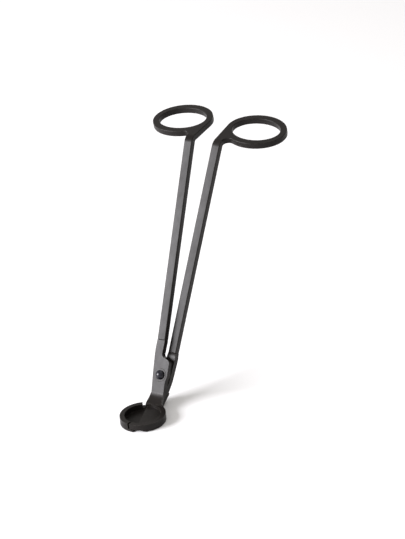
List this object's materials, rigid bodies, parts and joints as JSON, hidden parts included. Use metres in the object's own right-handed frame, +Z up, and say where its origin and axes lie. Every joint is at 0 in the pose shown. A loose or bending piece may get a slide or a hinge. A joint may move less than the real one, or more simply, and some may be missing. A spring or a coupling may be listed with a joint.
{
  "type": "wick trimmer",
  "caption": "Long-handled scissor tool that snips a candle wick deep in a jar and catches the cut end in its flat round dish.",
  "frame": {"origin": "centre of the closed dish, on the flat surface that the tool stands on", "axes": "+X to the side of the upper blade, +Y back from the dish towards the finger loops, +Z up"},
  "size_m": [0.0763, 0.1274, 0.1295],
  "materials": {
    "coated_steel": "satin black coating",
    "black_screw": "semi-gloss black",
    "bright_steel": "brushed"
  },
  "bodies": {
    "lower_lever": {"lower_handle": "coated_steel", "lower_blade": "coated_steel", "pivot_screw": "black_screw", "pivot_washer": "bright_steel", "lock_nut": "black_screw"},
    "upper_lever": {"upper_handle": "coated_steel", "upper_blade": "coated_steel"}
  },
  "joints": [
    {"name": "pivot", "type": "hinge", "parent": "lower_lever", "child": "upper_lever", "pos_m": [-0.0009, 0.0206, 0.0162], "axis": [0, -0.8788, 0.4772], "range_deg": [0, 28]}
  ]
}
